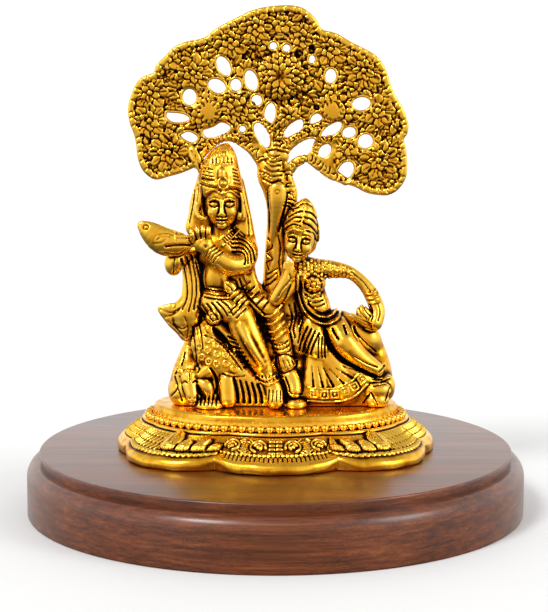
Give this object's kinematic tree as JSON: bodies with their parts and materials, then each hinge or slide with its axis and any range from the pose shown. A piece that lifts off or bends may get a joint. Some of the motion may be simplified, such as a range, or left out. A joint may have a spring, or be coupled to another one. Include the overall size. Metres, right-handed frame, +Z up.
{
  "type": "radha krishna statue",
  "caption": "Gold-finished cast statue of a seated flute player and a companion with a calf under a pierced flowering tree, on a lobed beaded base and a round stepped wooden plinth.",
  "frame": {"origin": "centre of the wooden plinth's underside", "axes": "+Z up, the figures face -Y, +X to the viewer's right"},
  "size_m": [0.23, 0.23, 0.2317],
  "materials": {
    "walnut": "turned walnut with a satin oil finish",
    "antique_gold": "bright gold plating with a dark brown patina left in the recesses"
  },
  "bodies": {
    "root": {"wood_plinth": "walnut", "metal_base": "antique_gold", "figure_group": "antique_gold"}
  },
  "joints": []
}
